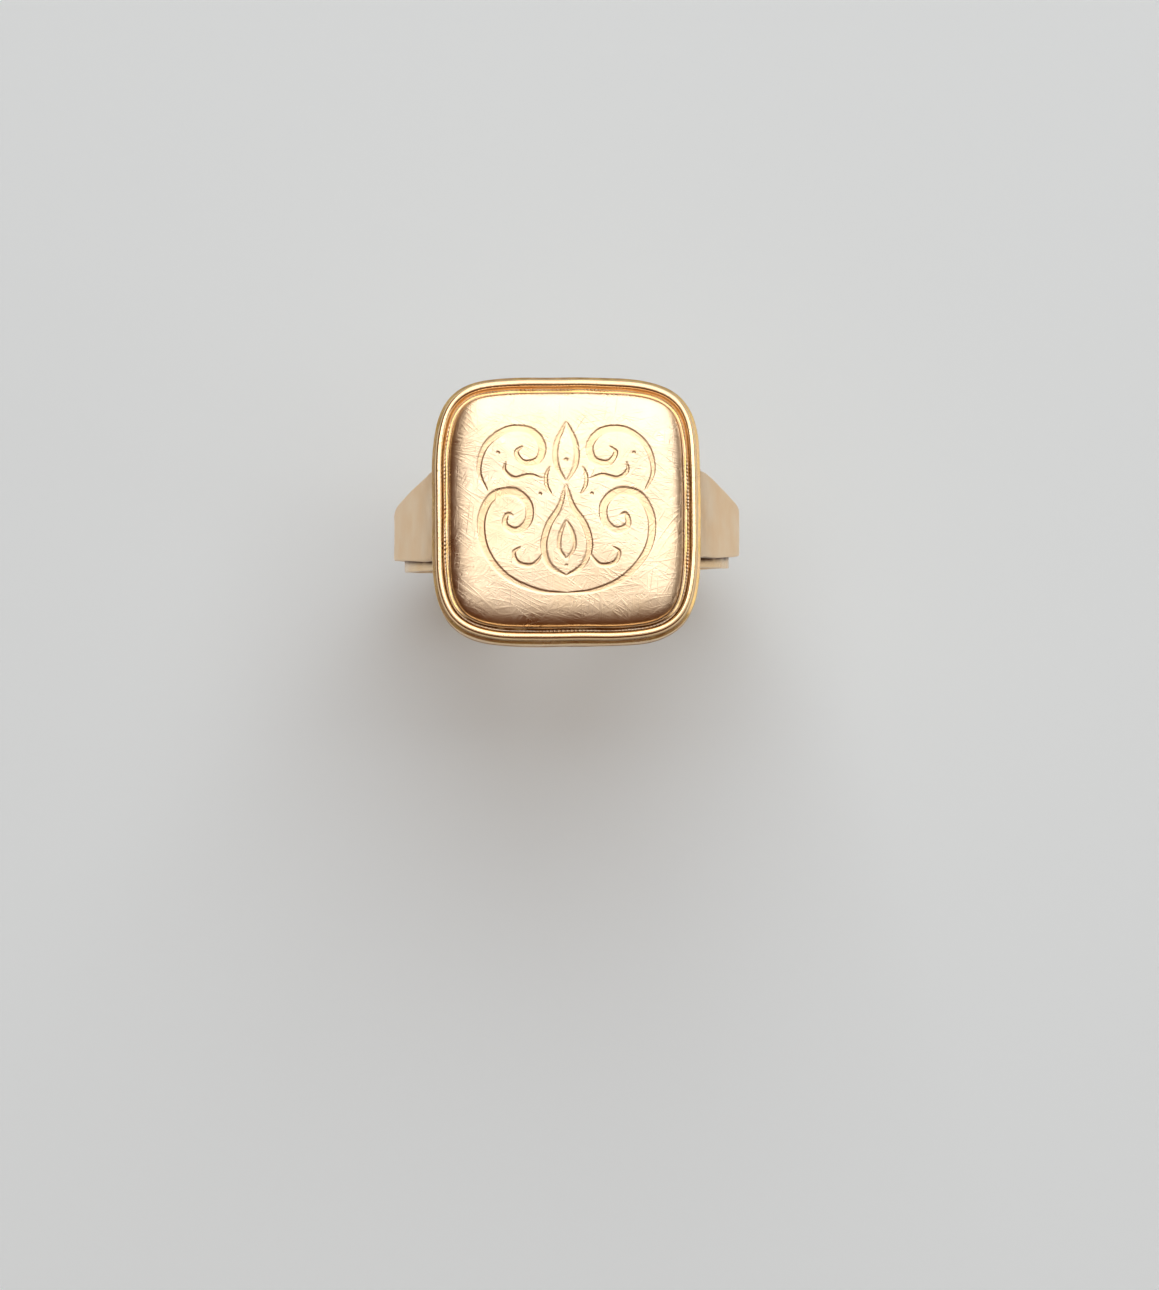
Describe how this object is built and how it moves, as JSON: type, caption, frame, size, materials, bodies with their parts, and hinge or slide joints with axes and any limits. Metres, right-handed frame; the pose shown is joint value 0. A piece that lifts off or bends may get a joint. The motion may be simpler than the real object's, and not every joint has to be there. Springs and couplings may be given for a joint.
{
  "type": "signet ring",
  "caption": "Gold signet ring with a domed cushion face in a beaded rim, raised on flat tapering shoulders over a finger band.",
  "frame": {"origin": "centre of the finger hole, half way along it", "axes": "+Y along the finger towards the fingertip, +Z from the finger hole up through the face of the ring, +X to the right seen from the wearer's side"},
  "size_m": [0.0196, 0.0148, 0.022],
  "materials": {
    "polished_gold": "polished",
    "worn_gold": "polished, worn with fine scratches",
    "satin_gold": "satin"
  },
  "bodies": {
    "root": {"finger_band": "polished_gold", "back_shank": "satin_gold", "left_shoulder": "satin_gold", "right_shoulder": "satin_gold", "back_plate": "satin_gold", "bezel_wall": "polished_gold", "ledge_plate": "polished_gold", "rim_wire": "polished_gold", "face_plate": "worn_gold"}
  },
  "joints": []
}
